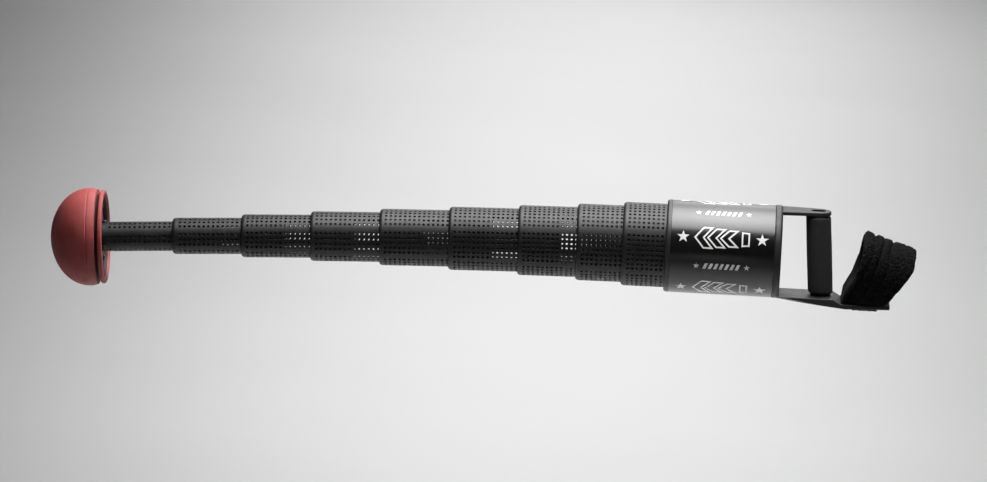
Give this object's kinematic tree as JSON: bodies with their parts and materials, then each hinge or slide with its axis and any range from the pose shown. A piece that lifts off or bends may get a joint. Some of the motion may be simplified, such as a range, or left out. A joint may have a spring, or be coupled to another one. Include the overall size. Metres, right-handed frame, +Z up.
{
  "type": "telescopic boxing focus stick",
  "caption": "Hand-held telescopic focus stick for boxing drills: nested perforated tubes slide out of a housing with a padded half-ball target, foam grip and wrist strap.",
  "frame": {"origin": "centre of the hand grip, on the housing's long axis", "axes": "+X from the target end towards the user's elbow along the housing's axis, +Z up to the thumb side where the short upper arm is, +Y to the user's right"},
  "size_m": [1.1278, 0.1274, 0.1546],
  "materials": {
    "tube": "satin",
    "housing": "satin",
    "label": "gloss",
    "frame": "satin",
    "pad": "matte",
    "core": "satin",
    "foam_grip": "matte",
    "screw": "satin",
    "strap": "matte",
    "hook_tab": "matte",
    "head_rubber": "matte",
    "foam_core": "matte",
    "back_plate": "matte",
    "hub": "satin"
  },
  "bodies": {
    "handle_housing": {"housing_shell": "housing", "label_sleeve": "label", "rear_buffer_pad": "pad", "handle_frame": "frame", "grip_core": "core", "grip_foam": "foam_grip", "grip_screws": "screw", "wrist_strap": "strap", "strap_hook_tab": "hook_tab"},
    "stage_9": {"tube_9": "tube"},
    "stage_8": {"tube_8": "tube"},
    "stage_7": {"tube_7": "tube"},
    "stage_6": {"tube_6": "tube"},
    "stage_5": {"tube_5": "tube"},
    "stage_4": {"tube_4": "tube"},
    "stage_3": {"tube_3": "tube"},
    "stage_2": {"tube_2": "tube"},
    "stage_1": {"tube_1": "tube", "head_dome": "head_rubber", "head_foam_core": "foam_core", "head_rim_ring": "head_rubber", "head_back_plate": "back_plate", "head_hub": "hub", "head_plate_screws": "screw", "tube_screws": "screw"}
  },
  "joints": [
    {"name": "stage_9_slide", "type": "slide", "parent": "handle_housing", "child": "stage_9", "axis": [-1, 0, -0.0035], "range_m": [-0.053, 0.034]},
    {"name": "stage_8_slide", "type": "slide", "parent": "stage_9", "child": "stage_8", "axis": [-0.9999, 0, -0.0105], "range_m": [-0.058, 0.0305]},
    {"name": "stage_7_slide", "type": "slide", "parent": "stage_8", "child": "stage_7", "axis": [-0.9998, 0, -0.0175], "range_m": [-0.0745, 0.014]},
    {"name": "stage_6_slide", "type": "slide", "parent": "stage_7", "child": "stage_6", "axis": [-0.9997, 0, -0.0244], "range_m": [-0.0885, 0]},
    {"name": "stage_5_slide", "type": "slide", "parent": "stage_6", "child": "stage_5", "axis": [-0.9995, 0, -0.0314], "range_m": [-0.0885, 0]},
    {"name": "stage_4_slide", "type": "slide", "parent": "stage_5", "child": "stage_4", "axis": [-0.9993, 0, -0.0384], "range_m": [-0.0885, 0]},
    {"name": "stage_3_slide", "type": "slide", "parent": "stage_4", "child": "stage_3", "axis": [-0.999, 0, -0.0454], "range_m": [-0.0885, 0]},
    {"name": "stage_2_slide", "type": "slide", "parent": "stage_3", "child": "stage_2", "axis": [-0.9986, 0, -0.0523], "range_m": [-0.0885, 0]},
    {"name": "stage_1_slide", "type": "slide", "parent": "stage_2", "child": "stage_1", "axis": [-0.9982, 0, -0.0593], "range_m": [-0.084, 0]}
  ]
}
